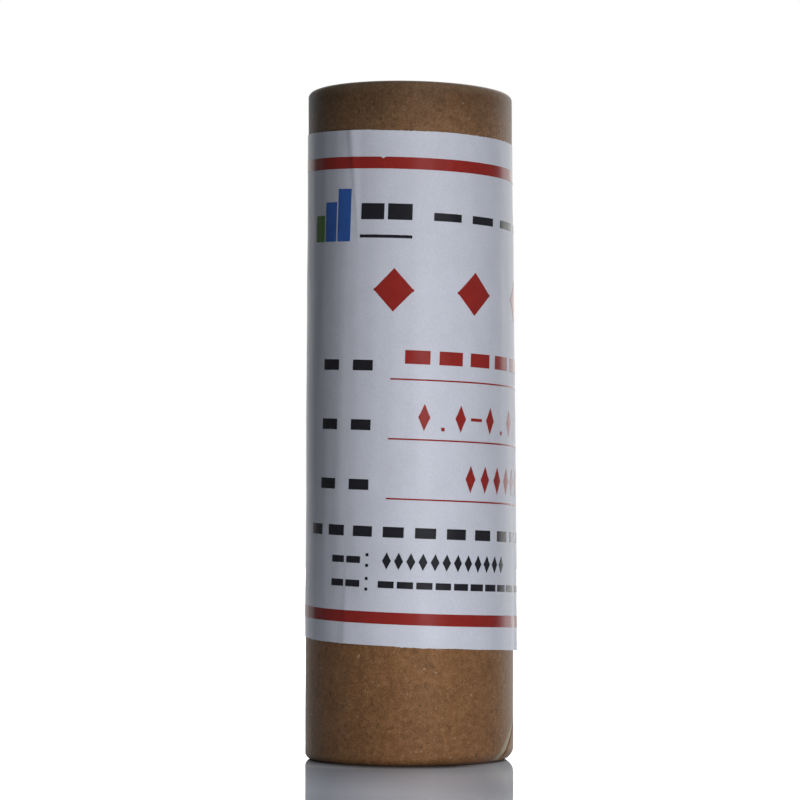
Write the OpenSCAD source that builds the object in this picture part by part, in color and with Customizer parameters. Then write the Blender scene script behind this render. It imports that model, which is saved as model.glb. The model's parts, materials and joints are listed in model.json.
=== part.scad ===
// Sealed spiral-wound kraft paper tube, closed by a disc inside each rolled rim,
// with a printed paper label glued round it a little askew.
// Frame: +Z up the tube's axis, origin at the middle of the foot, front towards -Y.
// Angles go from the front towards the right (+X), so they rise anticlockwise from above.

/* [Tube] */
// Outside diameter of the tube
tube_d = 34; // [26:0.5:60]
// Height of the tube, foot to top rim
tube_h = 109.5; // [104:0.5:150]
// Rounding of the top rim's outer edge
top_round = 0.8; // [0.3:0.1:1.5]
// Rounding of the foot's outer edge
foot_round = 1.4; // [0.5:0.1:1.8]
// Width of each rolled rim, seen on the end
rim_w = 2.8; // [2.6:0.1:4]
// Rounding of each rim's inner edge
rim_inner_round = 0.4; // [0.2:0.1:0.6]
// Depth of each end disc below its rim
end_recess = 1.2; // [0.6:0.1:3]

/* [Ply seam] */
// Rise of the outer ply's seam in one turn
seam_lead = 92; // [70:1:140]
// Angle of the seam at the foot
seam_angle = 61; // [0:1:359]
// Width of the open seam, round the tube
seam_w = 0.4; // [0.2:0.05:1]
// Depth of the open seam, the thickness of the outer ply
seam_depth = 0.15; // [0.1:0.05:0.4]

/* [Label] */
// Thickness of the label paper
label_t = 0.07; // [0.05:0.01:0.3]
// Thickness of the glue between the label and what it is stuck on
glue_t = 0.01; // [0.01:0.01:0.1]
// Height of the label's lower edge above the foot, at its middle
label_low = 18.6; // [6:0.1:22]
// Distance from the label's upper edge to the top rim, at its middle
label_high = 8.1; // [5:0.1:12]
// Angle of the label's middle
label_mid = 36; // [-180:1:180]
// How far the label is turned from square, its right side low
label_slant = 2.05; // [0:0.05:4]
// Length of the label's lap over its own start
label_lap = 3.8; // [2:0.1:10]

/* [Loose edge of the label] */
// How far the label's loose lower edge stands off the tube
loose_lift = 0.65; // [0:0.05:1.5]
// Place of the loose stretch along the label, from its middle
loose_u = 18; // [0:0.5:20]
// Half the length of the loose stretch
loose_w = 16; // [8:0.5:24]
// Height of the loose stretch, up from the label's lower edge
loose_h = 72; // [50:0.5:80]

/* [Crease in the label] */
// How far the crease stands off the tube at the label's upper edge
crease_lift = 0.14; // [0:0.02:0.6]
// Place of the crease along the label, from its middle
crease_u = -22.5; // [-40:0.5:40]
// Width of the crease's left side
crease_left = 2.4; // [1.8:0.1:6]
// Width of the crease's right side
crease_right = 2.2; // [1.8:0.1:16]

/* [Print] */
// Thickness of the ink
ink_t = 0.03; // [0.02:0.01:0.1]
// Height of each red band
band_h = 1.9; // [1:0.1:3]
// Distance from the upper band to the label's upper edge
band_top_gap = 4.3; // [3:0.1:5]
// Distance from the lower band to the label's lower edge
band_low_gap = 3.6; // [1:0.1:4]
// Distance from the title's middle to the label's upper edge
title_drop = 13.7; // [13:0.1:15]
// Distance from the maker's line to the label's lower edge
maker_rise = 18.3; // [17:0.1:19]
// Distance from the telephone line to the label's lower edge
phone_rise = 13.7; // [13.4:0.1:14]
// Distance from the address line to the label's lower edge
address_rise = 9.9; // [8:0.1:10]
// Thickness of each rule
rule_h = 0.25; // [0.15:0.05:0.6]
// Start of the rules along the label, from its middle
rule_start_u = -13.9; // [-15:0.1:-13]
// Length of the rules
rule_w = 42; // [36:0.5:48]
// Width of a heading lozenge
lozenge_w = 6.6; // [4:0.1:8]
// Height of a heading lozenge
lozenge_h = 7; // [4:0.1:7.4]
// Distance between heading lozenges
lozenge_pitch = 13.9; // [9:0.1:14]
// Width of the emblem of three bars
emblem_w = 8.6; // [6:0.1:9]
// Height of the emblem's tallest bar
emblem_h = 8.5; // [6:0.1:9]

/* [Hidden] */
kraft = [0.60, 0.47, 0.35];
paper = [0.76, 0.77, 0.80];
red = [0.62, 0.15, 0.14];
black = [0.11, 0.11, 0.13];
blue = [0.15, 0.33, 0.66];
green = [0.27, 0.50, 0.14];

facet_deg = 3;
seam_step_deg = 6;
overcut = 1;
tube_r = tube_d / 2;
label_r = tube_r + glue_t;
round_the_tube = 2 * PI * label_r * cos(label_slant);
label_w = round_the_tube + label_lap;
// The label and its print share one set of columns, about facet_w apart
label_columns = ceil(label_w / (label_r * facet_deg * PI / 180));
facet_w = label_w / label_columns;
// No two columns stand nearer than this
nearest = facet_w / 30;
label_h = tube_h - label_low - label_high;
label_mid_z = label_low + label_h / 2;
label_mid_arc = label_r * label_mid * PI / 180;
// Lap: the label's end climbs over its start within lap_run
lap_run = 6;
lap_start_u = label_w / 2 - label_lap;
lap_clear = 0.2;
// The loose stretch has loose_rows rows of facets, and the crease starts at one of them
loose_rows = 7;
crease_first_row = 6;
loose_top_v = loose_h - label_h / 2;
crease_low_v = crease_first_row / loose_rows * loose_h - label_h / 2;
crease_lines = [crease_u - crease_left, crease_u, crease_u + crease_right];
ink_seat = 0.01;
ink_low = label_t + ink_seat;
// Heights of the printed lines above the label's middle. The heading and the three ruled rows
// share the space between the title and the maker's line, each at so many pitches below the title.
title_v = label_h / 2 - title_drop;
maker_v = maker_rise - label_h / 2;
phone_v = phone_rise - label_h / 2;
address_v = address_rise - label_h / 2;
heading_row = 1.25;
first_rule_row = 2.74;
maker_row = 5.3;
row_pitch = (title_v - maker_v) / maker_row;
heading_v = title_v - heading_row * row_pitch;
first_rule_v = title_v - first_rule_row * row_pitch;
// Title line: the emblem, two bold marks over a thin line, and five light marks.
// Each u is the middle of the first mark.
emblem_u = -26.2;
emblem_bar_share = 0.9;
bold_u = -17.9;
bold_pitch = 4.6;
bold_w = 4;
bold_h = 2.6;
bold_rise = 0.6;
thin_w = 8.8;
thin_h = 0.5;
thin_drop = 3.4;
light_u = -5.4;
light_pitch = 6.95;
light_w = 4.8;
light_h = 1.3;
// Ruled rows: the row's own words, and its red entry of blocks or of slim lozenges for figures
word_u = -25.2;
word_pitch = 6.5;
word_w = 3.6;
word_h = 1.7;
word_rise = 2.1;
entry_u = -9.6;
entry_pitch = 5.6;
entry_w = 4.1;
entry_h = 2.2;
entry_rise = 3.6;
figure_w = 1.9;
figure_h = 4.4;
figure_pitch = 3.1;
size_u = -8.2;
point_w = 0.6;
point_drop = 1.8;
dash_w = 2.3;
dash_h = 0.5;
count_u = 0.2;
// Lines at the foot
maker_u = -28.1;
maker_pitch = 5.2;
maker_w = 3.4;
foot_word_u = -22.3;
foot_word_pitch = 3.1;
foot_word_w = 2.6;
foot_word_h = 1.1;
foot_entry_u = -13.4;
colon_u = -16.7;
colon_w = 0.5;
digit_w = 1.4;
digit_h = 2.8;
digit_pitch = 1.95;

// ---- Label sheet: u runs along the label and v up it, both from its middle ----

function smooth(t) = let (c = min(max(t, 0), 1)) c * c * (3 - 2 * c);

// The loose stretch swells down to the lower edge as a quarter sine, and along u as a cosine
function loose(u, v) =
    let (side = abs(u - loose_u) / loose_w, down = (loose_top_v - v) / loose_h)
    side < 1 && down > 0 ? loose_lift * sin(90 * down) * (1 + cos(180 * side)) / 2 : 0;

// The crease is a ridge with two flat sides, which grows in a straight line up to the upper edge
function crease(u, v) =
    let (
        off = u - crease_u,
        side = off < 0 ? -off / crease_left : off / crease_right,
        up = (v - crease_low_v) / (label_h / 2 - crease_low_v)
    )
    side < 1 && up > 0 ? crease_lift * (1 - side) * up : 0;

function lap(u) = (label_t + glue_t) * smooth((u - lap_start_u) / lap_run + 1);

// Point at u, v on the label, h out from its back
function on_label(u, v, h) =
    let (
        arc = label_mid_arc + u * cos(label_slant) + v * sin(label_slant),
        a = arc / label_r * 180 / PI,
        r = label_r + loose(u, v) + crease(u, v) + lap(u) + h
    )
    [r * sin(a), -r * cos(a), label_mid_z - u * sin(label_slant) + v * cos(label_slant)];

// Column i, and each line of the crease that lies between it and the next
function facet_columns(i) =
    let (x = i * facet_w - label_w / 2)
    [x, for (line = crease_lines) if (line > x + nearest && line < x + facet_w - nearest) line];

// The columns that lie between u = a and u = b, with a and b themselves
function columns(a, b) =
    [
        a,
        for (i = [0:label_columns]) for (x = facet_columns(i)) if (x > a + nearest && x < b - nearest) x,
        b
    ];

// Two triangles on the corners a, b, c, d, named clockwise from outside
function quad(a, b, c, d) = [[a, b, c], [a, c, d]];

// Curved sheet on the label between heights low and high. Each column in us has its own
// lows[i] to highs[i], and each row stands at one of the shares in rows.
module sheet(us, lows, highs, rows, low, high) {
    nu = len(us);
    nv = len(rows);
    at = function (k, i, j) (k * nu + i) * nv + j;
    e = nu - 1;
    t = nv - 1;
    points = [
        for (h = [low, high]) for (i = [0:e]) for (f = rows)
            on_label(us[i], lows[i] + f * (highs[i] - lows[i]), h)
    ];
    faces = [
        for (i = [0:e - 1]) for (j = [0:t - 1]) each concat(
            quad(at(1, i, j), at(1, i, j + 1), at(1, i + 1, j + 1), at(1, i + 1, j)),
            quad(at(0, i + 1, j), at(0, i + 1, j + 1), at(0, i, j + 1), at(0, i, j))),
        for (i = [0:e - 1]) each concat(
            quad(at(0, i, 0), at(1, i, 0), at(1, i + 1, 0), at(0, i + 1, 0)),
            quad(at(0, i + 1, t), at(1, i + 1, t), at(1, i, t), at(0, i, t))),
        for (j = [0:t - 1]) each concat(
            quad(at(0, 0, j + 1), at(1, 0, j + 1), at(1, 0, j), at(0, 0, j)),
            quad(at(0, e, j), at(1, e, j), at(1, e, j + 1), at(0, e, j + 1)))
    ];
    polyhedron(points, faces);
}

// ---- Ink shapes ----

// Upright block of ink, w by h, with its middle at u, v
module tile(u, v, w, h) {
    us = columns(u - w / 2, u + w / 2);
    sheet(us, [for (x = us) v - h / 2], [for (x = us) v + h / 2], [0, 1], ink_low, ink_low + ink_t);
}

// Lozenge with its middle at u, v and blunt side corners, a twentieth of its height
module lozenge(u, v, w, h) {
    us = [each columns(u - w / 2, u), for (x = columns(u, u + w / 2)) if (x > u) x];
    half = [for (x = us) h / 2 * max(1 - abs(x - u) / (w / 2), 0.05)];
    sheet(us, [for (y = half) v - y], [for (y = half) v + y], [0, 1], ink_low, ink_low + ink_t);
}

// n tiles, the first at u
module tile_row(u, v, n, pitch, w, h) {
    for (i = [0:n - 1]) tile(u + i * pitch, v, w, h);
}

// n lozenges, the first at u
module lozenge_row(u, v, n, pitch, w, h) {
    for (i = [0:n - 1]) lozenge(u + i * pitch, v, w, h);
}

// ---- Tube ----

// Cut of the disc's recess and of the rim's inner rounding, at the foot
module end_cut() {
    translate([0, -overcut]) square([tube_r - rim_w, overcut + end_recess]);
    difference() {
        translate([tube_r - rim_w - overcut, 0]) square([overcut + rim_inner_round, rim_inner_round]);
        translate([tube_r - rim_w + rim_inner_round, rim_inner_round]) circle(rim_inner_round);
    }
}

module tube_profile() {
    difference() {
        union() {
            square([tube_r - foot_round, foot_round]);
            translate([tube_r - foot_round, foot_round]) circle(foot_round);
            translate([0, foot_round]) square([tube_r, tube_h - foot_round - top_round]);
            translate([tube_r - top_round, tube_h - top_round]) circle(top_round);
            translate([0, tube_h - top_round]) square([tube_r - top_round, top_round]);
        }
        end_cut();
        translate([0, tube_h]) mirror([0, 1]) end_cut();
    }
}

// V-shaped thread that opens the ply seam: a right-handed helix from below the foot to above the rim
module seam_thread() {
    z0 = -overcut;
    turns_deg = (tube_h + 2 * overcut) / seam_lead * 360;
    n = ceil(turns_deg / seam_step_deg);
    // The V is seam_w wide at the tube's face and opens on past it
    past = 2 * seam_depth;
    half_deg = seam_w / 2 * (seam_depth + past) / seam_depth / tube_r * 180 / PI;
    section = [[tube_r - seam_depth, 0], [tube_r + past, half_deg], [tube_r + past, -half_deg]];
    points = [
        for (i = [0:n]) for (p = section)
            let (f = i / n, a = seam_angle + z0 / seam_lead * 360 + f * turns_deg + p[1])
            [p[0] * sin(a), -p[0] * cos(a), z0 + f * (tube_h + 2 * overcut)]
    ];
    faces = [
        [0, 1, 2],
        [3 * n + 2, 3 * n + 1, 3 * n],
        for (i = [0:n - 1]) for (k = [0:2])
            each quad(3 * i + k, 3 * i + 3 + k, 3 * i + 3 + (k + 1) % 3, 3 * i + (k + 1) % 3)
    ];
    polyhedron(points, faces);
}

module paper_tube() {
    color(kraft) difference() {
        rotate_extrude($fn = 120) tube_profile($fn = 48);
        seam_thread();
    }
}

// ---- Label and its print ----

module label() {
    us = columns(-label_w / 2, label_w / 2);
    rows = [for (i = [0:loose_rows]) let (f = i / loose_rows * loose_h / label_h) if (f < 1) f, 1];
    color(paper) sheet(us, [for (x = us) -label_h / 2], [for (x = us) label_h / 2], rows, 0, label_t);
}

// Red: the two bands, the heading, the rules and the entries on them
module red_print() {
    band_w = label_w - label_lap - lap_clear;
    band_u = (label_w - band_w) / 2;
    color(red) {
        tile(band_u, label_h / 2 - band_top_gap - band_h / 2, band_w, band_h);
        tile(band_u, -label_h / 2 + band_low_gap + band_h / 2, band_w, band_h);
        lozenge_row(-lozenge_pitch, heading_v, 3, lozenge_pitch, lozenge_w, lozenge_h);
        for (row = [0:2]) tile(rule_start_u + rule_w / 2, rule_v(row), rule_w, rule_h);
        tile_row(entry_u, entry_v(0), 7, entry_pitch, entry_w, entry_h);
        // Second entry, a range of sizes: figure, point, figure, dash, figure, point, figure
        for (side = [0, 4]) {
            u = size_u + side * figure_pitch;
            lozenge_row(u, entry_v(1), 2, 2 * figure_pitch, figure_w, figure_h);
            tile(u + figure_pitch, entry_v(1) - point_drop, point_w, point_w);
        }
        tile(size_u + 3 * figure_pitch, entry_v(1), dash_w, dash_h);
        lozenge_row(count_u, entry_v(2), 6, figure_pitch, figure_w, figure_h);
    }
}

function rule_v(row) = first_rule_v - row * row_pitch;
function entry_v(row) = rule_v(row) + entry_rise;

// Black: the title, each row's words, and the three lines at the foot
module black_print() {
    color(black) {
        tile_row(bold_u, title_v + bold_rise, 2, bold_pitch, bold_w, bold_h);
        tile(bold_u + bold_pitch / 2, title_v - thin_drop, thin_w, thin_h);
        tile_row(light_u, title_v, 5, light_pitch, light_w, light_h);
        for (row = [0:2]) tile_row(word_u, rule_v(row) + word_rise, 2, word_pitch, word_w, word_h);
        tile_row(maker_u, maker_v, 11, maker_pitch, maker_w, word_h);
        foot_line(phone_v);
        lozenge_row(foot_entry_u, phone_v, 12, digit_pitch, digit_w, digit_h);
        foot_line(address_v);
        tile_row(foot_entry_u, address_v, 12, foot_word_pitch, foot_word_w, foot_word_h);
    }
}

// Start of a line at the foot: two words and a colon
module foot_line(v) {
    tile_row(foot_word_u, v, 2, foot_word_pitch, foot_word_w, foot_word_h);
    for (side = [-1, 1]) tile(colon_u, v + side * (foot_word_h - colon_w / 2), colon_w, colon_w);
}

// Emblem: three bars on one foot, each a quarter of the tallest one's height above the last
module emblem_bar(step) {
    pitch = emblem_w / (2 + emblem_bar_share);
    bar_h = emblem_h * (step + 1) / 4;
    tile(emblem_u + (step - 2) * pitch, title_v - (emblem_h - bar_h) / 2, emblem_bar_share * pitch, bar_h);
}

module blue_print() {
    color(blue) for (step = [2, 3]) emblem_bar(step);
}

module green_print() {
    color(green) emblem_bar(1);
}

paper_tube();
label();
red_print();
black_print();
blue_print();
green_print();
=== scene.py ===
"""Sealed round pack of kraft board: spiral-wound tube, pasted paper label and its four inks.

Shapes are worked out in millimetres. Angles are in degrees, from the front (-Y) towards the
right (+X), so they rise anticlockwise from above.
"""

import json
import math

import bpy
import numpy as np
from mathutils import Matrix, Vector


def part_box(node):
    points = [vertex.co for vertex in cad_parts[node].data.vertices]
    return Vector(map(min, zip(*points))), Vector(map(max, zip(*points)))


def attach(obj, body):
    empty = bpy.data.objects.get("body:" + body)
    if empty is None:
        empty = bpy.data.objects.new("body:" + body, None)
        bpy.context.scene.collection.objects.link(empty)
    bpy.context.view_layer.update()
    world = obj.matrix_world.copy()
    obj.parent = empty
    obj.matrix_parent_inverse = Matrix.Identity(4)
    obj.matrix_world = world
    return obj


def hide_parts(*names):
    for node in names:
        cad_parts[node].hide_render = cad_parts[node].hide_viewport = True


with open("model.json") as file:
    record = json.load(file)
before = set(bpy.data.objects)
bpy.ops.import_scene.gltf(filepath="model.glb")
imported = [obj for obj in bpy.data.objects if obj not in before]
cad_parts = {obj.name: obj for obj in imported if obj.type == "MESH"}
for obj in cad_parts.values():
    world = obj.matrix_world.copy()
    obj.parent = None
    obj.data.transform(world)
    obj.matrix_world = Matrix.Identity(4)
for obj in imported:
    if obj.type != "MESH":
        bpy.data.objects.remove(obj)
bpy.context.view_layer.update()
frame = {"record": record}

MM = 0.001
# The pieces' own maps count in centimetres
MAP_SCALE = 0.1
# Edges that turn by more degrees than this stay sharp
SHARP_FROM = 35
foot_corner, top_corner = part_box("paper_tube")
BASE_COLOR = {slot["slot"]: slot["base_color"] for slot in frame["record"]["materials"]}

# ---- Sizes ----

TUBE_R = (top_corner.x - foot_corner.x) / 2 / MM
TUBE_H = top_corner.z / MM
# Once round the tube, on the pieces' own maps
ROUND_ON_MAP = 2 * math.pi * TUBE_R * MAP_SCALE
TOP_ROUND = 0.8
# The foot's rounding, and what it grows to at this angle on the right
FOOT_ROUND = 1.2
FOOT_ROUND_RIGHT = 2.15
FOOT_ROUND_ANGLE = 75
# Each rolled rim, and the depth of the end disc inside it
RIM_W = 2.8
RIM_INNER_ROUND = 0.4
END_RECESS = 1.2
# A row this far before its rounding keeps the rim's inner wall straight
RIM_WALL_STEP = 0.3
# The seam and the wall's unevenness fade in over this much of the rim, its outer part
RIM_OUTER = 1.5
# The top rim is cut a little out of square, by these angles: low on the right, high at the
# front. It lies a little lower too, and both fade in from this height up.
RIM_FALL_RIGHT = 1.0
RIM_RISE_FRONT = 1.85
RIM_DROP = 0.08
RIM_SLANT_FROM = TUBE_H - 7
# The wound tube is a little wide at its foot and narrow at its top
FOOT_SPREAD = 0.14
TOP_DRAW = 0.19
# The board's colour fades towards the top rim, to this share
TOP_DARK = 0.5

# The outer ply's seam: its rise in one turn, its angle at the foot, and its open gap
SEAM_LEAD = 92
SEAM_ANGLE = 61
SEAM_GAP = 0.16
SEAM_DEPTH = 0.2
# The ply's edge on the left of the seam curves in over this width, at the foot and higher up
PLY_EDGE_FOOT = 3.8
PLY_EDGE = 1.8
# It narrows below the first of these heights, and its drop is gone at the second
PLY_EDGE_FLARE = 2.5
PLY_EDGE_DROP = 0.24
PLY_EDGE_CALM = 7.5
# How fast the seam's right edge, a little worn, comes back to the round
WORN_EDGE = 0.05

# The label's paper and glue, and its edges' distances from the foot and the top rim
LABEL_T = 0.07
GLUE_T = 0.01
LABEL_LOW = 18.6
LABEL_HIGH = 8.1
# The angle of its middle, how far it is turned from square, and its lap over its own start
LABEL_MID = 36
LABEL_SLANT = math.radians(2.05)
LABEL_LAP = 3.8
# The label's columns and rows of points
LABEL_COLUMNS = 520
LABEL_ROWS = 72
LABEL_R = TUBE_R + GLUE_T
LABEL_W = 2 * math.pi * LABEL_R * math.cos(LABEL_SLANT) + LABEL_LAP
LABEL_H = TUBE_H - LABEL_LOW - LABEL_HIGH
LABEL_TOP = LABEL_H / 2
LABEL_MID_Z = LABEL_LOW + LABEL_TOP
LABEL_MID_ARC = LABEL_R * math.radians(LABEL_MID)
# The length of the lap's climb, and how far the print keeps off the lap
LAP_RUN = 6
LAP_START = LABEL_W / 2 - LABEL_LAP
LAP_CLEAR = 0.2

# The loose stretch of the label: its lift, its middle along the label, half its length, what
# the left half narrows to at the lower edge, its height, and how soon it rises
LOOSE_LIFT = 0.72
LOOSE_U = 19.5
LOOSE_W = 16
LOOSE_FOLD = 2.5
LOOSE_H = 72
LOOSE_START = 0.85
LOOSE_TOP = LOOSE_H - LABEL_TOP
# Two creases, each a fold that widens and rises in a straight line from its start to the
# label's edge: height, place along the label, width of its left and right sides, softness of
# its lines, all at the edge, then the start, the edge, and how far the crease leans to the
# right for each step away from the edge
CREASE_UPPER = (0.24, -22.3, 1.15, 1.8, 0.5, 20.5, LABEL_TOP, 0.11)
CREASE_LOWER = (0.18, -20.5, 1.6, 2.6, 0.5, -26, -LABEL_TOP, 0.0)
# A crease is nowhere narrower than this share of its width at the edge
CREASE_NARROW = 0.35

# The label's lower edge is cut out of parallel by this slope, turning on this place
LOWER_CUT = -0.0075
LOWER_CUT_U = -2

# The ink, its gap to the paper, and the longest steps of its columns and rows
INK_T = 0.02
INK_GAP = 0.01
INK_LOW = LABEL_T + INK_GAP
INK_STEP = 0.25
INK_ROW_STEP = 1.2
# The two bands and their distances from the label's edges
BAND_H = 1.9
BAND_TOP_GAP = 4.3
BAND_LOW_GAP = 3.6
# A nick in the upper band's upper edge
NICK_U = -16.4
NICK_W = 0.45
NICK_H = 0.28

# Heights of the printed lines above the label's middle. The heading, the first of three rules
# and the maker's line stand this many row pitches below the title.
TITLE_V = LABEL_TOP - 13.7
MAKER_V = 18.3 - LABEL_TOP
PHONE_V = 13.7 - LABEL_TOP
ADDRESS_V = 9.9 - LABEL_TOP
HEADING_ROW = 1.25
FIRST_RULE_ROW = 2.74
MAKER_ROW = 5.3
RULED_ROWS = 3
ROW_PITCH = (TITLE_V - MAKER_V) / MAKER_ROW
HEADING_V = TITLE_V - HEADING_ROW * ROW_PITCH
# Rows of marks: how many, the first one's middle, the distance to the next, width and height
HEADING = (3, -13.9, 13.9, 6.6, 7)
BOLD = (2, -17.9, 4.6, 4, 2.6)
LIGHT = (5, -5.4, 6.95, 4.8, 1.3)
WORD = (2, -25.2, 6.5, 3.6, 1.7)
NAME = (7, -9.6, 5.6, 4.1, 2.2)
AMOUNT = (6, 0.2, 3.1, 1.9, 4.4)
MAKER = (11, -28.1, 5.2, 3.4, 1.7)
FOOT_WORD = (2, -22.3, 3.1, 2.6, 1.1)
PHONE = (12, -13.4, 1.95, 1.4, 2.8)
ADDRESS = (12, -13.4, 3.1, 2.6, 1.1)
# The title's bold marks stand this far above its middle, over a thin line: its drop below
# the middle, and its own middle, width and height
BOLD_RISE = 0.6
THIN_DROP = 3.4
THIN = (-15.6, 8.8, 0.5)
# The rules, and the heights of a row's words and its entry above its rule
RULE_START = -13.9
RULE_W = 42
RULE_H = 0.25
WORD_RISE = 2.1
ENTRY_RISE = 3.6
# The range of sizes: figure, point, figure, dash, figure, point, figure, a pitch apart
SIZE_U = -8.2
FIGURE_PITCH = 3.1
FIGURE = (1.9, 4.4)
POINT = 0.6
POINT_DROP = 1.8
DASH = (2.3, 0.5)
# The colon of a line at the foot: its place, its dots' size, and their distance from the middle
COLON_U = -16.7
COLON = 0.5
COLON_RISE = 0.85
# The emblem of three bars: its middle, width and height, and a bar's share of its pitch
EMBLEM_U = -26.2
EMBLEM_W = 8.6
EMBLEM_H = 8.5
BAR_SHARE = 0.9

# ---- Waves and grids ----


def smooth(t):
    """3 c squared less 2 c cubed, where c is t held between 0 and 1."""
    c = np.clip(t, 0, 1)
    return c * c * (3 - 2 * c)


def waves(seed, count, shortest, longest, along, across=0.0, stretch=1.0):
    """Sum of count sine waves in random directions, of about unit height.

    Each has a wavelength between shortest and longest. Across is divided by stretch, so the
    waves' crests run stretch times as far that way.
    """
    rng = np.random.default_rng(seed)
    total = 0.0
    for _ in range(count):
        number = 2 * math.pi / math.exp(rng.uniform(math.log(shortest), math.log(longest)))
        turn, phase = rng.uniform(0, 2 * math.pi, 2)
        way = along * math.cos(turn) + across / stretch * math.sin(turn)
        total = total + np.sin(number * way + phase)
    return total * math.sqrt(2 / count)


def cells(rows, columns, wrap_rows=False, wrap_columns=False):
    """Row and column of each corner of each cell of a grid, as an array of cells by 4 by 2.

    The corners go round by column first and row second. A wrapped side has one cell more, and
    that cell's far corners are counted on past the last row or column.
    """
    row, column = np.meshgrid(
        np.arange(rows - 1 + wrap_rows), np.arange(columns - 1 + wrap_columns), indexing="ij"
    )
    corners = np.array([[0, 0], [0, 1], [1, 1], [1, 0]])
    return np.stack([row, column], -1).reshape(-1, 1, 2) + corners


def piece(name, points, faces, map_points, material, stands_for):
    """One object from points in mm, lists of point numbers, and a map place for each corner."""
    mesh = bpy.data.meshes.new(name)
    mesh.from_pydata(points * MM, [], faces)
    mesh.uv_layers.new(name="Sheet").uv.foreach_set("vector", map_points.astype(np.float32).ravel())
    mesh.materials.append(material)
    mesh.shade_smooth()
    mesh.set_sharp_from_angle(angle=math.radians(SHARP_FROM))
    made = bpy.data.objects.new(name, mesh)
    bpy.context.collection.objects.link(made)
    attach(made, "root")
    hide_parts(stands_for)


# ---- Tube ----


def arc(count, start, end):
    """Cosines and sines of count angles from start to end, in degrees."""
    turn = np.radians(np.linspace(start, end, count))
    return np.cos(turn), np.sin(turn)


def seam_columns():
    """Angles of the tube's columns past the seam: close together at the seam, even elsewhere."""
    near = np.array([0, 0.04, 0.09, 0.15, 0.3, 0.6, 1.0])
    gap = np.linspace(-SEAM_GAP, 0, 5)[:-1]
    edge = -SEAM_GAP - np.linspace(0, 1, 15)[1:] ** 1.3 * PLY_EDGE_FOOT
    full = 2 * math.pi * TUBE_R
    even = np.linspace(near[-1], full - SEAM_GAP - PLY_EDGE_FOOT, 190)[1:-1]
    places = np.concatenate([near, even, full + edge[::-1], full + gap])
    return np.degrees(places / TUBE_R)


def ply_edge(past, z):
    """How far the board's face lies inside the round, near the seam.

    Left of the gap the ply's edge bends in as the power 1.4 of the way along its width. It
    is widest at the foot, and its drop goes with the power 0.7 of the height left to
    PLY_EDGE_CALM, where it lies flat. The gap is a V, and right of it the worn edge comes back
    to the round as a falling exponential.
    """
    place = np.radians(np.where(past > 180, past - 360, past)) * TUBE_R
    width = PLY_EDGE + (PLY_EDGE_FOOT - PLY_EDGE) * np.clip(1 - z / PLY_EDGE_FLARE, 0, 1) ** 2
    along = np.clip((place + SEAM_GAP) / width + 1, 0, 1)
    drop = PLY_EDGE_DROP * np.clip(1 - z / PLY_EDGE_CALM, 0, 1) ** 0.7
    bend = np.where(place < -SEAM_GAP, drop * along**1.4, 0)
    floor_in = drop + SEAM_DEPTH * (1 + place / SEAM_GAP)
    gap = np.where((place >= -SEAM_GAP) & (place < 0), floor_in, 0)
    fall = np.exp(-np.maximum(place, 0) / WORN_EDGE)
    worn = np.where(place >= 0, (drop + SEAM_DEPTH) * fall, 0)
    return bend + gap + worn


def taper(z):
    """How much the tube is wider than its nominal radius at height z: a straight line."""
    return FOOT_SPREAD - (FOOT_SPREAD + TOP_DRAW) * z / TUBE_H


def uneven(turn, z):
    """The board's slow unevenness, a few hundredths of a millimetre, fading out at the foot."""
    hills = waves(3, 14, 9, 40, TUBE_R * np.sin(turn), z - TUBE_R * np.cos(turn))
    return 0.015 * hills * smooth(z / 4)


def tube_end(outer_rounding, ones):
    """Radii and heights of one end's rows, from the disc to the start of the wall.

    The end's face is at height 0. The rows are the disc, the rim's inner wall, its inner
    rounding, its flat and its outer rounding.
    """
    inner_r = TUBE_R - RIM_W
    disc = np.linspace(0, inner_r, 15)[1:-1]
    flat = np.linspace(0, 1, 4)[1:-1, None]
    start, stop = inner_r + RIM_INNER_ROUND, TUBE_R - outer_rounding
    in_cosine, in_sine = arc(6, 180, 270)
    out_cosine, out_sine = arc(10, 270, 360)
    radii = [
        np.outer(disc, ones),
        np.outer([inner_r, inner_r], ones),
        np.outer(inner_r + RIM_INNER_ROUND * (1 + in_cosine), ones),
        start + flat * (stop - start) * ones,
        TUBE_R + np.outer(out_cosine - 1, outer_rounding * ones),
    ]
    heights = [
        np.outer(np.full(len(disc), END_RECESS), ones),
        np.outer([END_RECESS, RIM_INNER_ROUND + RIM_WALL_STEP], ones),
        np.outer(RIM_INNER_ROUND * (1 + in_sine), ones),
        0 * flat * ones,
        np.outer(out_sine + 1, outer_rounding * ones),
    ]
    return np.concatenate(radii), np.concatenate(heights)


def tube_grid():
    """Radius, height and angle of the tube's skin, and its columns' angles past the seam.

    Rows go out from the foot's middle, up the wall and in to the top's middle. Columns follow
    the ply's winding, so the seam is one column: the angle is the seam's, plus the column's
    own, plus one turn for each lead of height.
    """
    past = seam_columns()
    ones = np.ones_like(past)
    towards_right = np.clip(np.cos(np.radians(SEAM_ANGLE + past - FOOT_ROUND_ANGLE)), 0, 1)
    rounding = FOOT_ROUND + (FOOT_ROUND_RIGHT - FOOT_ROUND) * towards_right**1.3
    foot_r, foot_z = tube_end(rounding, ones)
    top_r, top_z = tube_end(TOP_ROUND, ones)
    wall = np.linspace(0, 1, 112)[1:-1, None]
    wall_z = foot_z[-1] + wall * (TUBE_H - TOP_ROUND - foot_z[-1])
    radius = np.concatenate([foot_r, TUBE_R + 0 * wall_z, top_r[::-1]])
    height = np.concatenate([foot_z, wall_z, TUBE_H - top_z[::-1]])
    angle = SEAM_ANGLE + past + 360 / SEAM_LEAD * height
    return radius, height, angle, past


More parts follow.
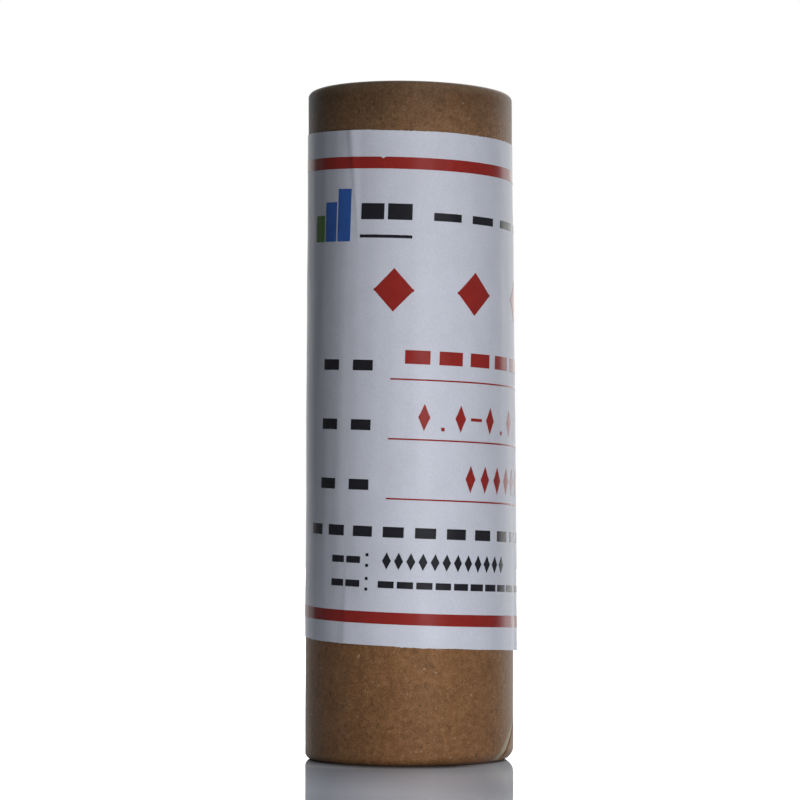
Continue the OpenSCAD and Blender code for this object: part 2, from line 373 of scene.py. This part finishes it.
def tube_points(radius, height, angle, past):
    """Points of the skin, row by row, and then the middle of each end's disc.

    The radius takes the seam, the unevenness and the taper, and the top end is tipped: the
    height falls by two slopes, one to the right and one to the back.
    """
    turn = np.radians(angle)
    # The seam and the unevenness fade in over the rim's outer part
    outer = smooth((radius - TUBE_R) / RIM_OUTER + 1)
    inside = ply_edge(np.broadcast_to(past, radius.shape), height) * outer
    r = radius - inside + uneven(turn, height) * outer + taper(height) * radius / TUBE_R
    x, y = r * np.sin(turn), -r * np.cos(turn)
    tipped = smooth((height - RIM_SLANT_FROM) / (TUBE_H - RIM_SLANT_FROM))
    fall_right = math.tan(math.radians(RIM_FALL_RIGHT))
    rise_front = math.tan(math.radians(RIM_RISE_FRONT))
    z = height + tipped * (-fall_right * x - rise_front * y - RIM_DROP)
    points = np.stack([x, y, z], -1).reshape(-1, 3)
    return np.concatenate([points, [[0, 0, END_RECESS], [0, 0, TUBE_H - END_RECESS]]])


def tube_faces(points, height, past):
    """Faces of the skin with a fan on each disc, and each corner's place on the map.

    The map is the ply unrolled, from the seam once round, and the fans as seen from above.
    """
    rows, columns = height.shape
    quads = cells(rows, columns, wrap_columns=True)
    numbers = quads[..., 0] * columns + quads[..., 1] % columns
    along = np.radians(np.append(past, 360.0)[quads[..., 1]]) * TUBE_R
    skin_map = np.stack([along, height[quads[..., 0], quads[..., 1] % columns]], -1)
    foot, top = rows * columns, rows * columns + 1
    here = np.arange(columns)
    ahead = (here + 1) % columns
    last = (rows - 1) * columns
    foot_fan = np.stack([ahead, here, np.full(columns, foot)], -1)
    top_fan = np.stack([last + here, last + ahead, np.full(columns, top)], -1)
    fans = np.concatenate([foot_fan, top_fan])
    fan_map = points[fans][..., :2]
    on_map = np.concatenate([skin_map.reshape(-1, 2), fan_map.reshape(-1, 2)])
    return numbers.tolist() + fans.tolist(), on_map


def tube_board():
    """The wound tube with its end discs: a closed skin with one point at each end's middle."""
    radius, height, angle, past = tube_grid()
    points = tube_points(radius, height, angle, past)
    faces, on_map = tube_faces(points, height, past)
    piece("tube_board", points, faces, on_map * MAP_SCALE, kraft_board(), "paper_tube")


# ---- Label and inks ----


def loose(u, v):
    """The loose stretch: a quarter sine down to the lower edge, times a cosine swell along u.

    The sine's way down is taken to the power LOOSE_START, so it rises fast at first. The
    swell's left side narrows on the way down, and ends as a fold at the lower edge.
    """
    down = np.clip((LOOSE_TOP - v) / LOOSE_H, 0, 1)
    left_w = LOOSE_W + (LOOSE_FOLD - LOOSE_W) * down
    side = np.clip(np.where(u < LOOSE_U, (LOOSE_U - u) / left_w, (u - LOOSE_U) / LOOSE_W), 0, 1)
    return LOOSE_LIFT * np.sin(math.pi / 2 * down**LOOSE_START) * (1 + np.cos(math.pi * side)) / 2


def crease(u, v, size):
    """A leaning ridge with two flat sides, which grows in a straight line up to its edge.

    Its crest and its sides' feet are rounded: the height is the mean of seven ridges, shifted
    across it over its softness.
    """
    lift, middle, left_w, right_w, soft, start, edge, lean = size
    up = np.maximum((v - start) / (edge - start), 0)
    widen = np.maximum(up, CREASE_NARROW)
    place = (u - middle - lean * np.abs(edge - v)) / widen
    ridge = 0.0
    shifts = np.linspace(-soft, soft, 7) / 2
    for shift in shifts:
        off = place + shift
        side = np.where(off < 0, -off / left_w, off / right_w)
        ridge = ridge + np.clip(1 - side, 0, None) / len(shifts)
    return lift * ridge * up


def lap(u):
    """The label's end climbs over its own start, by one sheet and its glue."""
    return (LABEL_T + GLUE_T) * smooth((u - LAP_START) / LAP_RUN + 1)


def ripples(u, v):
    """Slack in the pasted paper: long upright waves, a few hundredths of a millimetre high.

    Troughs are cut off at 0.04, where the paper's back presses 0.03 into the board.
    """
    slack = 0.012 * waves(11, 16, 2.5, 9, u, v, 6) + 0.02 * waves(12, 8, 8, 20, u, v, 3)
    return np.maximum(slack, -0.04)


def on_label(u, v, height):
    """Point at u along and v up the label, both from its middle, height out from its back.

    The label's middle line is a helix round the tube, sloped by its slant.
    """
    along = LABEL_MID_ARC + u * math.cos(LABEL_SLANT) + v * math.sin(LABEL_SLANT)
    turn = along / LABEL_R
    z = LABEL_MID_Z - u * math.sin(LABEL_SLANT) + v * math.cos(LABEL_SLANT)
    board_r = LABEL_R + taper(z) + uneven(turn, z)
    r = board_r + loose(u, v) + crease(u, v, CREASE_UPPER) + crease(u, v, CREASE_LOWER)
    r = r + lap(u) + ripples(u, v) + height
    return np.stack([r * np.sin(turn), -r * np.cos(turn), z + 0 * r], -1)


def sheet(us, lows, highs, rows, low, high):
    """Closed sheet on the label: points, faces and map places.

    Each column in us has its own lowest and highest v. A section of the sheet is a closed
    loop, up the face at height high and down the back at height low.
    """
    share = np.linspace(0, 1, rows)[:, None]
    u = np.broadcast_to(us, (rows, len(us)))
    v = lows + share * (highs - lows)
    loop = np.concatenate([on_label(u, v, high), on_label(u, v, low)[::-1]])
    on_map = np.concatenate([np.stack([u, v], -1), np.stack([u, v], -1)[::-1]])
    count = len(us)
    quads = cells(2 * rows, count, wrap_rows=True)
    numbers = quads[..., 0] % (2 * rows) * count + quads[..., 1]
    face = np.arange(rows - 1)
    back = 2 * rows - 1 - face
    start = np.stack([face, face + 1, back - 1, back], -1) * count
    finish = start[:, ::-1] + count - 1
    faces = np.concatenate([numbers, start, finish])
    return loop.reshape(-1, 3), faces, on_map.reshape(-1, 2)[faces]


def joined(sheets):
    """Several sheets as one: their points, faces and map places, one after the other."""
    first = np.cumsum([0] + [len(points) for points, _, _ in sheets])
    points = np.concatenate([s[0] for s in sheets])
    faces = np.concatenate([s[1] + n for s, n in zip(sheets, first)])
    return points, faces, np.concatenate([s[2] for s in sheets]).reshape(-1, 2)


def pasted(name, sheets, material, stands_for):
    """One piece from the sheets that lie on the label."""
    points, faces, on_map = joined(sheets)
    piece(name, points, faces, on_map * MAP_SCALE, material, stands_for)


def edge_wander(seed, u):
    """A cut edge's wandering, in mm: long waves, and small tears that come and go along it."""
    tears = waves(seed, 18, 0.5, 1.8, u) * smooth(0.45 + 0.4 * waves(seed + 2, 6, 9, 30, u))
    return 0.04 * tears + 0.02 * waves(seed + 1, 8, 4, 14, u)


def label_sheet():
    """The label: one sheet whose two long edges wander, the lower a little out of parallel."""
    us = np.linspace(-LABEL_W / 2, LABEL_W / 2, LABEL_COLUMNS)
    lows = -LABEL_TOP + LOWER_CUT * (us - LOWER_CUT_U) + edge_wander(21, us)
    highs = LABEL_TOP + edge_wander(23, us)
    paper = sheet(us, lows, highs, LABEL_ROWS, 0, LABEL_T)
    pasted("label_sheet", [paper], label_paper(), "label")


def ink_rows(h):
    """How many rows of points a mark of height h needs."""
    return max(2, math.ceil(h / INK_ROW_STEP) + 1)


def tile(u, v, w, h):
    """Upright block of ink, w by h, with its middle at u, v."""
    us = np.linspace(u - w / 2, u + w / 2, max(2, math.ceil(w / INK_STEP) + 1))
    level = np.full(len(us), v)
    return sheet(us, level - h / 2, level + h / 2, ink_rows(h), INK_LOW, INK_LOW + INK_T)


def lozenge(u, v, w, h):
    """Lozenge of ink with its middle at u, v and blunt side corners, a twentieth of its height."""
    us = np.linspace(u - w / 2, u + w / 2, 2 * math.ceil(w / 2 / INK_STEP) + 1)
    half = h / 2 * np.maximum(1 - np.abs(us - u) / (w / 2), 0.05)
    return sheet(us, v - half, v + half, ink_rows(h), INK_LOW, INK_LOW + INK_T)


def mark_row(mark, v, count, u, pitch, w, h):
    """A row of tiles or lozenges, the first with its middle at u."""
    return [mark(u + i * pitch, v, w, h) for i in range(count)]


def rule_v(row):
    """Height of a row's rule."""
    return TITLE_V - (FIRST_RULE_ROW + row) * ROW_PITCH


def entry_v(row):
    """Height of a row's entry."""
    return rule_v(row) + ENTRY_RISE


def upper_band(u, w):
    """The upper band, with the nick in its upper edge."""
    upper = LABEL_TOP - BAND_TOP_GAP
    us = np.linspace(u - w / 2, u + w / 2, math.ceil(w / INK_STEP) + 1)
    us = np.union1d(us, NICK_U + NICK_W * np.linspace(-1, 1, 5))
    nick = NICK_H * np.clip(1 - np.abs(us - NICK_U) / NICK_W, 0, 1)
    return sheet(us, upper - BAND_H + 0 * us, upper - nick, 3, INK_LOW, INK_LOW + INK_T)


def size_range(v):
    """The entry for the range of sizes."""
    marks = []
    for first in (0, 4):
        u = SIZE_U + first * FIGURE_PITCH
        marks += mark_row(lozenge, v, 2, u, 2 * FIGURE_PITCH, *FIGURE)
        marks.append(tile(u + FIGURE_PITCH, v - POINT_DROP, POINT, POINT))
    return marks + [tile(SIZE_U + 3 * FIGURE_PITCH, v, *DASH)]


def red_marks():
    """The two bands, the heading, the rules and their entries: a name, a size, an amount."""
    band_w = LABEL_W - LABEL_LAP - LAP_CLEAR
    band_u = (LABEL_W - band_w) / 2
    marks = [upper_band(band_u, band_w)]
    marks.append(tile(band_u, -LABEL_TOP + BAND_LOW_GAP + BAND_H / 2, band_w, BAND_H))
    marks += mark_row(lozenge, HEADING_V, *HEADING)
    for row in range(RULED_ROWS):
        marks.append(tile(RULE_START + RULE_W / 2, rule_v(row), RULE_W, RULE_H))
    marks += mark_row(tile, entry_v(0), *NAME)
    marks += size_range(entry_v(1))
    marks += mark_row(lozenge, entry_v(2), *AMOUNT)
    pasted("red_marks", marks, ink_film("red_ink"), "red_print")


def foot_line(v):
    """Start of a line at the foot: two words and a colon."""
    colon = [tile(COLON_U, v + side * COLON_RISE, COLON, COLON) for side in (-1, 1)]
    return mark_row(tile, v, *FOOT_WORD) + colon


def black_marks():
    """The title, each row's words, and the three lines at the foot."""
    thin_u, thin_w, thin_h = THIN
    marks = mark_row(tile, TITLE_V + BOLD_RISE, *BOLD)
    marks.append(tile(thin_u, TITLE_V - THIN_DROP, thin_w, thin_h))
    marks += mark_row(tile, TITLE_V, *LIGHT)
    for row in range(RULED_ROWS):
        marks += mark_row(tile, rule_v(row) + WORD_RISE, *WORD)
    marks += mark_row(tile, MAKER_V, *MAKER)
    marks += foot_line(PHONE_V) + mark_row(lozenge, PHONE_V, *PHONE)
    marks += foot_line(ADDRESS_V) + mark_row(tile, ADDRESS_V, *ADDRESS)
    pasted("black_marks", marks, ink_film("black_ink"), "black_print")


def emblem_bar(step):
    """Bar 1, 2 or 3 of the emblem: two, three or four quarters of its height, on one foot."""
    pitch = EMBLEM_W / (2 + BAR_SHARE)
    bar_h = EMBLEM_H * (step + 1) / 4
    u = EMBLEM_U + (step - 2) * pitch
    return tile(u, TITLE_V - (EMBLEM_H - bar_h) / 2, BAR_SHARE * pitch, bar_h)


def blue_marks():
    """The emblem's two taller bars."""
    bars = [emblem_bar(2), emblem_bar(3)]
    pasted("blue_marks", bars, ink_film("blue_ink"), "blue_print")


def green_marks():
    """The emblem's low bar."""
    pasted("green_marks", [emblem_bar(1)], ink_film("green_ink"), "green_print")


# ---- Finishes ----


class Finish:
    """The node tree of a material or a world, with short ways to add a node and to link two."""

    def __init__(self, owner):
        self.owner = owner
        owner.use_nodes = True
        self.tree = owner.node_tree
        self.tree.nodes.clear()

    def node(self, kind, settings=None, **inputs):
        """A new node, with its settings, and its inputs by name."""
        made = self.tree.nodes.new("ShaderNode" + kind)
        for key, value in (settings or {}).items():
            setattr(made, key, value)
        for key, value in inputs.items():
            self.feed(made.inputs[key.replace("_", " ")], value)
        return made

    def feed(self, socket, value):
        """Links another node's output to the socket, or sets its value."""
        if isinstance(value, bpy.types.NodeSocket):
            self.tree.links.new(value, socket)
        else:
            socket.default_value = value

    def math(self, operation, a, b=0.0):
        """One step of arithmetic on a and b."""
        made = self.node("Math", {"operation": operation})
        self.feed(made.inputs[0], a)
        self.feed(made.inputs[1], b)
        return made.outputs[0]

    def product(self, first, *others):
        """All the values multiplied."""
        for other in others:
            first = self.math("MULTIPLY", first, other)
        return first

    def ramp(self, fac, *stops):
        """Straight lines through stops, each a place with a level or with red, green and blue."""
        made = self.node("ValToRGB")
        elements = made.color_ramp.elements
        while len(elements) < len(stops):
            elements.new(0.5)
        for element, (place, value) in zip(elements, stops):
            element.position = place
            element.color = (*value, 1) if np.ndim(value) else (value, value, value, 1)
        self.feed(made.inputs[0], fac)
        return made.outputs[0]

    def tint(self, blend, fac, a, b):
        """Colour a with colour b blended in by the factor, free to pass white."""
        made = self.node("Mix", {"data_type": "RGBA", "blend_type": blend, "clamp_result": False})
        self.feed(made.inputs[0], fac)
        self.feed(made.inputs[6], a)
        self.feed(made.inputs[7], b)
        return made.outputs[2]

    def times(self, colour, other, fac=1.0):
        """A colour multiplied by another, as far as the factor says."""
        return self.tint("MULTIPLY", fac, colour, other)

    def choose(self, when, no, yes):
        """One shader where when is 0, and the other where it is 1."""
        mix = self.node("MixShader", Fac=when)
        self.tree.links.new(no, mix.inputs[1])
        self.tree.links.new(yes, mix.inputs[2])
        return mix.outputs[0]

    def noise(self, place, scale, detail=2.0, roughness=0.5):
        """Noise around 0.5, with scale lumps in a metre."""
        made = self.node("TexNoise", Vector=place, Scale=scale, Detail=detail, Roughness=roughness)
        return made.outputs[0]

    def from_axis(self, place):
        """Distance of a place from the tube's axis, in metres."""
        flat = self.node("VectorMath", {"operation": "MULTIPLY"})
        self.feed(flat.inputs[0], place)
        self.feed(flat.inputs[1], (1, 1, 0))
        length = self.node("VectorMath", {"operation": "LENGTH"})
        self.feed(length.inputs[0], flat.outputs[0])
        return length.outputs["Value"]

    def on_sheet(self):
        """Place on the piece's own map, in cm: along, and up."""
        sheet_map = self.node("UVMap", {"uv_map": "Sheet"}).outputs[0]
        return self.node("SeparateXYZ", Vector=sheet_map).outputs[:2]

    def light(self, colour, strength):
        """The world's light in one colour, times its strength."""
        return self.node("Background", Color=colour, Strength=strength).outputs[0]

    def skin(self, colour, roughness, **inputs):
        """Closes the tree with one shader, and gives back the material."""
        shader = self.node("BsdfPrincipled", Base_Color=colour, Roughness=roughness, **inputs)
        self.node("OutputMaterial", Surface=shader.outputs[0])
        return self.owner


def rgba(colour, level=1.0):
    """A colour of three parts times a level, with a fourth part of 1."""
    return tuple(level * c for c in colour) + (1.0,)


def pulp(f, place, mottle):
    """Kraft's own colour: clouds, mottle, grain and hue, dark flecks and a few pale specks."""
    base = BASE_COLOR["kraft_board"]
    grain = f.noise(place, 4600, 2, 0.6)
    hue = f.noise(place, 700, 2, 0.6)
    tones = [
        f.ramp(f.noise(place, 240, 3, 0.6), (0.3, 0.85), (0.7, 1.04)),
        f.ramp(mottle, (0.3, (0.81, 0.78, 0.74)), (0.7, (1.19, 1.22, 1.28))),
        f.ramp(grain, (0.3, (0.67, 0.61, 0.52)), (0.7, (1.33, 1.39, 1.5))),
        f.ramp(hue, (0.3, (1.015, 1.0, 0.97)), (0.7, (0.985, 1.0, 1.03))),
    ]
    colour = rgba(base)
    for tone in tones:
        colour = f.times(colour, tone)
    fleck = f.ramp(f.noise(place, 900, 1, 0.5), (0.69, 0.0), (0.74, 0.5))
    colour = f.tint("MIX", fleck, colour, rgba(base, 0.3))
    speck = f.ramp(f.noise(place, 1900, 0, 0.5), (0.82, 0.0), (0.86, 0.55))
    return f.tint("MIX", speck, colour, (0.5, 0.42, 0.32, 1))


def seam_glare_and_shade(f, colour, wall):
    """A pale painted highlight left of the seam, from the foot up, and painted shade in the open gap.
    """
    along, up = f.on_sheet()
    to_seam = f.math("SUBTRACT", ROUND_ON_MAP, along)
    # Painted highlight: glare on the ply's bent edge, painted pale from the foot up
    strip = f.ramp(to_seam, (0.02, 0.0), (0.035, 1.0), (0.19, 0.85), (0.3, 0.0))
    low = f.ramp(up, (0.3, 0.65), (0.75, 0.0))
    colour = f.tint("MIX", f.product(strip, low, wall), colour, (0.55, 0.5, 0.38, 1))
    gap = SEAM_GAP * MAP_SCALE
    # Painted shade in the open gap
    return f.times(colour, f.ramp(to_seam, (gap, 0.22), (gap + 0.004, 1.0)), wall)


def tone_and_painted_light(f, colour, place, wall):
    """Tone and painted light by place, from left to right and from foot to top.

    The top end is darker and greyer on its left; its blue tint is painted light from above and its
    paler right side a painted sheen. The lower left is a tenth darker, painted shade. Both sides
    have a faint tint, a painted sheen, and the top rim's edge is paler, a painted highlight that
    is strongest at both sides.
    """
    across, _, high = f.node("SeparateXYZ", Vector=place).outputs
    side = f.math("ADD", f.math("DIVIDE", across, 2 * TUBE_R * MM), 0.5)
    share = f.math("DIVIDE", high, TUBE_H * MM)
    colour = f.times(colour, f.ramp(share, (0.9, 1.0), (1.0, TOP_DARK)))
    # Top end: darker and greyer on the left; the blue tint is painted light from above, the pale
    # right stop a painted sheen
    top_tint_and_sheen = f.ramp(
        side,
        (0.36, (0.76, 0.86, 1.0)),
        (0.52, (1.0, 1.09, 1.3)),
        (0.84, (1.0, 1.09, 1.3)),
        (0.93, (1.24, 1.3, 1.44)),
    )
    colour = f.times(colour, top_tint_and_sheen, f.ramp(share, (0.8, 0.0), (0.9, 1.0)))
    # Painted shade: the lower left a tenth darker
    lower_left_shade = f.ramp(side, (0.06, 1.0), (0.14, 0.88), (0.32, 0.9), (0.46, 1.0))
    colour = f.times(colour, lower_left_shade, f.ramp(share, (0.2, 1.0), (0.5, 0.0)))
    # Painted sheen: a faint pale tint at both sides, where the board turns away
    edges = f.ramp(
        side,
        (0.0, (1.1, 1.15, 1.1)),
        (0.1, (1.0, 1.0, 1.0)),
        (0.9, (1.0, 1.0, 1.0)),
        (0.97, (1.05, 1.08, 0.97)),
    )
    colour = f.times(colour, edges, wall)
    _, up = f.on_sheet()
    # Painted highlight along the top rim's edge, strongest at both sides
    rim = f.ramp(f.math("DIVIDE", up, TUBE_H * MAP_SCALE), (0.984, 0.0), (0.995, 1.0))
    strength = f.ramp(side, (0.15, 0.15), (0.4, 0.05), (0.6, 0.05), (0.85, 0.17))
    return f.tint("MIX", f.product(rim, wall, strength), colour, (0.5, 0.41, 0.29, 1))


def kraft_board():
    """Brown kraft, upright fibres and mottle in its face, with painted light and shade by place."""
    f = Finish(bpy.data.materials.new("brown_kraft"))
    place = f.node("TexCoord").outputs["Object"]
    mottle = f.noise(place, 1100, 2, 0.6)
    stretched = f.node("Mapping", Vector=place, Scale=(1, 1, 0.2)).outputs[0]
    fibre = f.noise(stretched, 2600, 2, 0.5)
    # 1 on the wall and 0 on the two ends
    wall = f.ramp(f.math("DIVIDE", f.from_axis(place), TUBE_R * MM), (0.95, 0.0), (0.965, 1.0))
    colour = pulp(f, place, mottle)
    colour = seam_glare_and_shade(f, colour, wall)
    colour = tone_and_painted_light(f, colour, place, wall)
    rough = f.math("ADD", f.product(mottle, 0.15), 0.4)
    height = f.math("ADD", f.product(mottle, 0.5), f.product(fibre, 0.9))
    bump = f.node("Bump", Strength=0.45, Distance=0.00012, Height=height).outputs[0]
    return f.skin(colour, rough, Normal=bump, Specular_IOR_Level=0.36)


def label_paper():
    """Pale paper with a soft gloss: faint clouds, and fine tooth in its face.

    It has painted shade, a sixth darker, in a soft band left of the creases, and painted light
    along its lower edge.
    """
    f = Finish(bpy.data.materials.new("label_paper"))
    place = f.node("TexCoord").outputs["Object"]
    cloud = f.noise(place, 220, 3, 0.6)
    fine = f.noise(place, 5200, 2, 0.6)
    tooth = f.noise(place, 2600, 2, 0.5)
    colour = rgba(BASE_COLOR["label_paper"])
    for pattern, spread in ((cloud, 0.03), (fine, 0.05), (tooth, 0.025)):
        colour = f.times(colour, f.ramp(pattern, (0.3, 1 - spread), (0.7, 1 + spread)))
    u, v = f.on_sheet()
    along = f.math("ADD", f.math("DIVIDE", u, LABEL_W * MAP_SCALE), 0.5)
    up = f.math("ADD", f.math("DIVIDE", v, LABEL_H * MAP_SCALE), 0.5)
    # Painted shade: a sixth darker left of the creases, growing towards the upper edge
    crease_shade = f.ramp(along, (0.215, 0.0), (0.245, 1.0), (0.285, 1.0), (0.3, 0.0))
    rising = f.ramp(up, (0.15, 0.0), (0.3, 0.5), (0.7, 1.0))
    colour = f.tint("MIX", f.product(crease_shade, rising, 0.17), colour, (0.0, 0.0, 0.0, 1))
    # Painted light: paler along the lower edge
    colour = f.times(colour, f.ramp(up, (0.03, 1.11), (0.15, 0.999)))
    rough = f.math("ADD", f.product(cloud, 0.1), 0.3)
    bump = f.node("Bump", Strength=0.2, Distance=0.00004, Height=tooth).outputs[0]
    return f.skin(colour, rough, Normal=bump)


def ink_film(slot):
    """Printing ink with the paper's gloss, a little uneven."""
    f = Finish(bpy.data.materials.new(slot + "_film"))
    cloud = f.noise(f.node("TexCoord").outputs["Object"], 420, 3, 0.6)
    colour = f.times(rgba(BASE_COLOR[slot]), f.ramp(cloud, (0.3, 0.92), (0.7, 1.08)))
    rough = f.math("ADD", f.product(cloud, 0.08), 0.2)
    return f.skin(colour, rough, Specular_IOR_Level=0.42)


# ---- Stage, light and camera ----

# The table's half width, and the reach and width of its shading round the tube, in metres
TABLE_HALF = 1.5
TABLE_REACH = 0.1
TABLE_SPAN = 0.032


def table_tone(f, matt_ray):
    """Table's matt colour: painted light and shade by distance from the axis and from left to right.

    It is palest at the tube, with the tube's shadow painted at its foot. Matt faces get little
    light from it.
    """
    place = f.node("TexCoord").outputs["Object"]
    near = f.math("DIVIDE", f.from_axis(place), TABLE_REACH)
    sideways = f.node("SeparateXYZ", Vector=place).outputs[0]
    across = f.math("ADD", f.math("DIVIDE", sideways, TABLE_SPAN), 0.5)
    foot_shade = f.ramp(across, (0.0, 0.45), (0.35, 0.25), (0.72, 0.25), (0.9, 1.0))
    # Painted light, palest near the tube and fading outwards
    level = f.ramp(near, (0.33, 0.9), (0.52, 0.72), (0.74, 0.54), (1.0, 0.52))
    tone = f.times((0.92, 0.97, 1.06, 1), level)
    tone = f.times(tone, foot_shade, f.ramp(near, (0.18, 1.0), (0.22, 0.0)))
    # Painted shade from left to right, near the tube and farther out
    side_shade_near = f.ramp(
        across,
        (0.0, (0.8, 0.82, 0.84)),
        (0.12, (0.64, 0.67, 0.71)),
        (0.35, (0.77, 0.8, 0.83)),
        (0.62, (0.97, 1.0, 1.03)),
        (0.86, (0.86, 0.89, 0.91)),
        (0.97, (1.05, 1.05, 1.05)),
    )
    side_shade_far = f.ramp(
        across,
        (0.0, (1.08, 1.1, 1.13)),
        (0.12, (0.9, 0.93, 0.97)),
        (0.35, (1.1, 1.13, 1.16)),
        (0.6, (1.07, 1.1, 1.13)),
        (0.85, (0.74, 0.78, 0.81)),
        (1.0, (0.7, 0.73, 0.75)),
    )
    sides = f.tint("MIX", f.ramp(near, (0.36, 0.0), (0.64, 1.0)), side_shade_near, side_shade_far)
    tone = f.times(tone, sides, f.ramp(near, (0.2, 0.0), (0.26, 1.0)))
    matt = f.ramp(near, (0.2, (0.35, 0.35, 0.35)), (0.4, (0.12, 0.13, 0.15)))
    matt = f.times(matt, foot_shade, f.ramp(near, (0.2, 1.0), (0.4, 0.0)))
    return f.tint("MIX", matt_ray, tone, matt)


def floor():
    """Pale glossy table: it mirrors the tube as much as its Fresnel term says.

    The camera sees the mirror a little dimmer and sharper than other rays do, and matt faces
    see no mirror in it.
    """
    f = Finish(bpy.data.materials.new("pale_table"))
    ray = f.node("LightPath").outputs
    seen = f.node("BsdfGlossy", Color=(0.65, 0.65, 0.65, 1), Roughness=0.0).outputs[0]
    unseen = f.node("BsdfGlossy", Color=(0.95, 0.95, 0.95, 1), Roughness=0.05).outputs[0]
    mirror = f.choose(ray["Is Camera Ray"], unseen, seen)
    matt_ray = ray["Is Diffuse Ray"]
    pale = f.node("BsdfDiffuse", Color=table_tone(f, matt_ray)).outputs[0]
    fresnel = f.node("Fresnel", IOR=1.5).outputs[0]
    share = f.product(fresnel, f.math("SUBTRACT", 1.0, matt_ray))
    f.node("OutputMaterial", Surface=f.choose(share, pale, mirror))
    h = TABLE_HALF
    mesh = bpy.data.meshes.new("table")
    mesh.from_pydata([(-h, -h, 0), (h, -h, 0), (h, h, 0), (-h, h, 0)], [], [(0, 1, 2, 3)])
    mesh.materials.append(f.owner)
    table = bpy.data.objects.new("table", mesh)
    bpy.context.collection.objects.link(table)


# The world's level by compass point, in a gloss and on matt faces: bearing, and level
GLOSS_LEVELS = [
    (-180, 0.5),
    (-150, 0.4),
    (-138, 0.23),
    (-124, 0.03),
    (-4, 0.04),
    (4, 0.3),
    (38, 0.3),
    (46, 0.05),
    (115, 0.06),
    (127, 0.92),
    (180, 0.8),
]
MATT_LEVELS = [
    (-180, 1.5),
    (-150, 1.35),
    (-130, 0.13),
    (-65, 0.13),
    (-50, 0.0),
    (106, 0.0),
    (130, 1.15),
]


def surroundings():
    """World: white to the camera and in the table, dim on matt faces.

    In a gloss it goes by compass point: dark from the left, bright on the right and behind.
    """
    world = bpy.data.worlds.new("studio")
    bpy.context.scene.world = world
    f = Finish(world)
    way = f.node("SeparateXYZ", Vector=f.node("TexCoord").outputs["Generated"]).outputs
    bearing = f.math("ARCTAN2", way[0], f.product(way[1], -1.0))
    share = f.math("ADD", f.math("DIVIDE", bearing, 2 * math.pi), 0.5)

    gloss = f.ramp(share, *((degrees / 360 + 0.5, level) for degrees, level in GLOSS_LEVELS))
    dull = f.ramp(share, *((degrees / 360 + 0.5, level) for degrees, level in MATT_LEVELS))
    dull = f.times(dull, (1.1, 1.15, 1.2, 1))
    dull = f.tint("ADD", 1.0, dull, (0.014, 0.015, 0.016, 1))
    white = (1.0, 1.0, 1.0, 1.0)
    ray = f.node("LightPath").outputs
    sky = f.choose(ray["Is Glossy Ray"], f.light(dull, 1.0), f.light(gloss, 2.0))
    sky = f.choose(ray["Is Singular Ray"], sky, f.light(white, 2.8))
    sky = f.choose(ray["Is Camera Ray"], sky, f.light(white, 1.0))
    f.node("OutputWorld", Surface=sky)


def lamp(name, bearing, distance, height, width, tall, power, aim):
    """Rectangular lamp that faces the tube's axis at the height aim, in metres and degrees.

    The camera and glosses do not see it.
    """
    data = bpy.data.lights.new(name, "AREA")
    data.shape = "RECTANGLE"
    data.size = width
    data.size_y = tall
    data.energy = power
    light = bpy.data.objects.new(name, data)
    turn = math.radians(bearing)
    light.location = (distance * math.sin(turn), -distance * math.cos(turn), height)
    way = Vector((0, 0, aim)) - light.location
    light.rotation_euler = way.to_track_quat("-Z", "Y").to_euler()
    light.visible_camera = False
    light.visible_glossy = False
    bpy.context.collection.objects.link(light)


def lamps():
    """A tall strip at the front, one more by the foot, and a small one low on each side."""
    front = {"bearing": 15, "distance": 0.11, "width": 0.02}
    lamp("key", height=0.09, tall=0.24, power=0.113, aim=0.09, **front)
    lamp("low", height=0.018, tall=0.03, power=0.025, aim=0.018, **front)
    small = {"distance": 0.045, "width": 0.01, "tall": 0.02}
    lamp("low_left", bearing=-107, height=0.025, power=0.0012, aim=0.02, **small)
    lamp("low_right", bearing=112, height=0.02, power=0.0018, aim=0.012, **small)


# Width of the render and focal length, in pixels, then the camera's distance in front of the
# axis and its height, and its tilt up, turn to the right and anticlockwise roll
IMAGE_PX = 800
FOCAL_PX = 3318
CAMERA_OFF = 547.8
CAMERA_UP = 42.6
CAMERA_PITCH, CAMERA_YAW, CAMERA_ROLL = (math.radians(a) for a in (1.72, -0.17, 0.103))


def camera():
    """Long lens a little above the foot, tipped up."""
    flat = math.cos(CAMERA_PITCH)
    ahead = Vector((math.sin(CAMERA_YAW) * flat, math.cos(CAMERA_YAW) * flat, math.sin(CAMERA_PITCH)))
    level = Vector((math.cos(CAMERA_YAW), -math.sin(CAMERA_YAW), 0))
    upright = level.cross(ahead)
    right = math.cos(CAMERA_ROLL) * level + math.sin(CAMERA_ROLL) * upright
    up = math.cos(CAMERA_ROLL) * upright - math.sin(CAMERA_ROLL) * level
    data = bpy.data.cameras.new("camera")
    data.sensor_width = 36
    data.lens = FOCAL_PX * data.sensor_width / IMAGE_PX
    view = bpy.data.objects.new("camera", data)
    turn = Matrix((right, up, -ahead)).transposed().to_4x4()
    view.matrix_world = Matrix.Translation((0, -CAMERA_OFF * MM, CAMERA_UP * MM)) @ turn
    bpy.context.collection.objects.link(view)
    bpy.context.scene.camera = view


camera()
surroundings()
floor()
lamps()
tube_board()
label_sheet()
red_marks()
black_marks()
blue_marks()
green_marks()

bpy.context.scene.view_settings.view_transform = "Standard"
